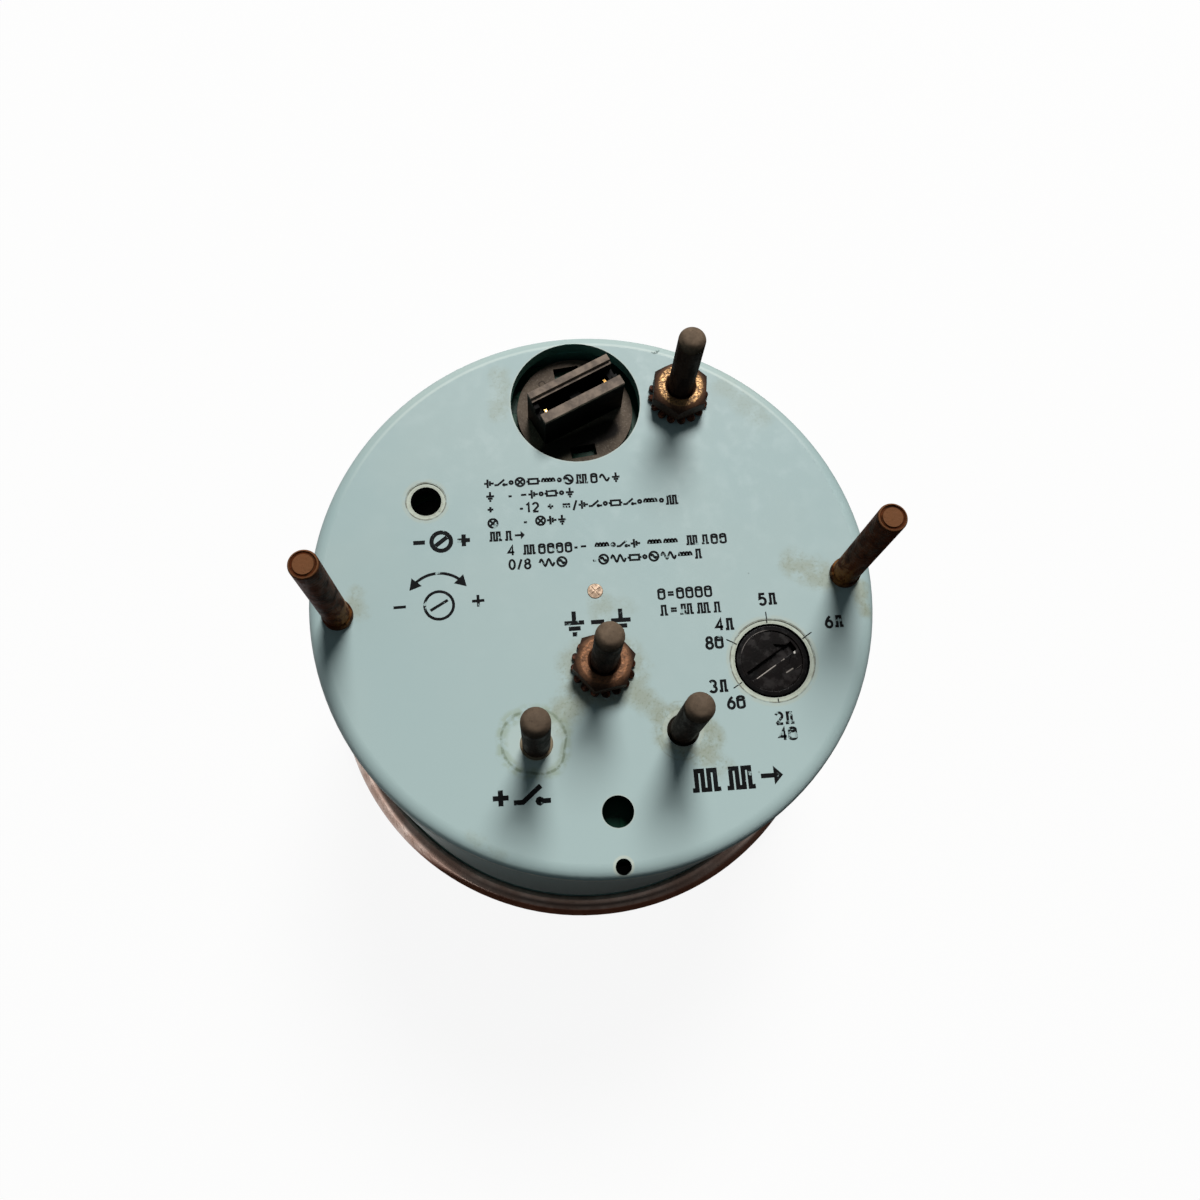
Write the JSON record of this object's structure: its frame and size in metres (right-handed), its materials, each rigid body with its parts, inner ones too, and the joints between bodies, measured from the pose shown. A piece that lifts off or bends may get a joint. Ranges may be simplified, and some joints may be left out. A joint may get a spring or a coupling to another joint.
{
  "type": "boat tachometer",
  "caption": "Round panel tachometer for a boat: drafted case with rear terminal studs, lamp holder, pulse selector and calibration, and a pointer behind a bezel ring.",
  "frame": {"origin": "centre of the bezel's front plane, on which the part lies", "axes": "+Z along the case towards the rear plate, +X through the bracket studs, +Y towards the lamp hole"},
  "size_m": [0.0928, 0.0928, 0.0825],
  "materials": {
    "case": "satin",
    "bezel": "polished",
    "lens": "polished",
    "lens_gasket": "matte",
    "reflector_ring": "matte",
    "dial": "matte",
    "dial_screws": "satin",
    "stop_pin": "satin",
    "pointer": "satin",
    "pointer_cap": "satin",
    "spindle": "polished",
    "rotor_magnet": "matte",
    "bearings": "satin",
    "bobbin": "satin",
    "coils": "satin",
    "shield_can": "satin",
    "coil_wires": "satin",
    "spacers": "satin",
    "board_screws": "satin",
    "circuit_board": "gloss",
    "chip": "matte",
    "chip_legs": "satin",
    "capacitors": "gloss",
    "film_capacitor": "gloss",
    "resistors": "satin",
    "diodes": "gloss",
    "transistor": "matte",
    "selector": "satin",
    "selector_wiper": "satin",
    "calibration_body": "satin",
    "calibration_rotor": "matte",
    "lamp_holder": "satin",
    "lamp_contacts": "polished",
    "bulb_glass": "polished",
    "bulb_filament": "satin",
    "terminal_studs": "tarnished",
    "lock_washers": "tarnished",
    "terminal_nuts": "tarnished",
    "bracket_studs": "rusted",
    "middle_plug": "satin"
  },
  "bodies": {
    "housing": {"case": "case", "bezel": "bezel", "lens": "lens", "lens_gasket": "lens_gasket", "reflector_ring": "reflector_ring", "dial": "dial", "dial_screws": "dial_screws", "stop_pin": "stop_pin", "bearings": "bearings", "bobbin_front": "bobbin", "bobbin_rear": "bobbin", "inner_coils": "coils", "outer_coils": "coils", "shield_can": "shield_can", "coil_wires": "coil_wires", "spacers": "spacers", "board_screws": "board_screws", "circuit_board": "circuit_board", "chip": "chip", "chip_legs": "chip_legs", "capacitors": "capacitors", "film_capacitor": "film_capacitor", "resistors": "resistors", "diodes": "diodes", "transistor": "transistor", "selector_body": "selector", "calibration_body": "calibration_body", "terminal_studs": "terminal_studs", "lock_washers": "lock_washers", "terminal_nuts": "terminal_nuts", "bracket_studs": "bracket_studs", "middle_plug": "middle_plug"},
    "needle": {"pointer": "pointer", "pointer_cap": "pointer_cap", "spindle": "spindle", "rotor_magnet": "rotor_magnet"},
    "selector": {"selector_rotor": "selector", "selector_wiper": "selector_wiper"},
    "calibration": {"calibration_rotor": "calibration_rotor"},
    "lamp": {"lamp_holder": "lamp_holder", "lamp_contacts": "lamp_contacts", "bulb_glass": "bulb_glass", "bulb_filament": "bulb_filament"}
  },
  "joints": [
    {"name": "pointer_swing", "type": "hinge", "parent": "housing", "child": "needle", "pos_m": [0, 0, 0.01], "axis": [0, 0, 1], "range_deg": [0, 240]},
    {"name": "selector_turn", "type": "hinge", "parent": "housing", "child": "selector", "pos_m": [0.0248, -0.0133, 0.057], "axis": [0, 0, 1], "range_deg": [0, 240]},
    {"name": "calibration_turn", "type": "hinge", "parent": "housing", "child": "calibration", "pos_m": [-0.0239, 0.0156, 0.05], "axis": [0, 0, 1], "range_deg": [-135, 135]},
    {"name": "lamp_holder_turn", "type": "hinge", "parent": "housing", "child": "lamp", "pos_m": [0, 0.0302, 0.054], "axis": [0, 0, 1], "range_deg": [0, 60]}
  ]
}
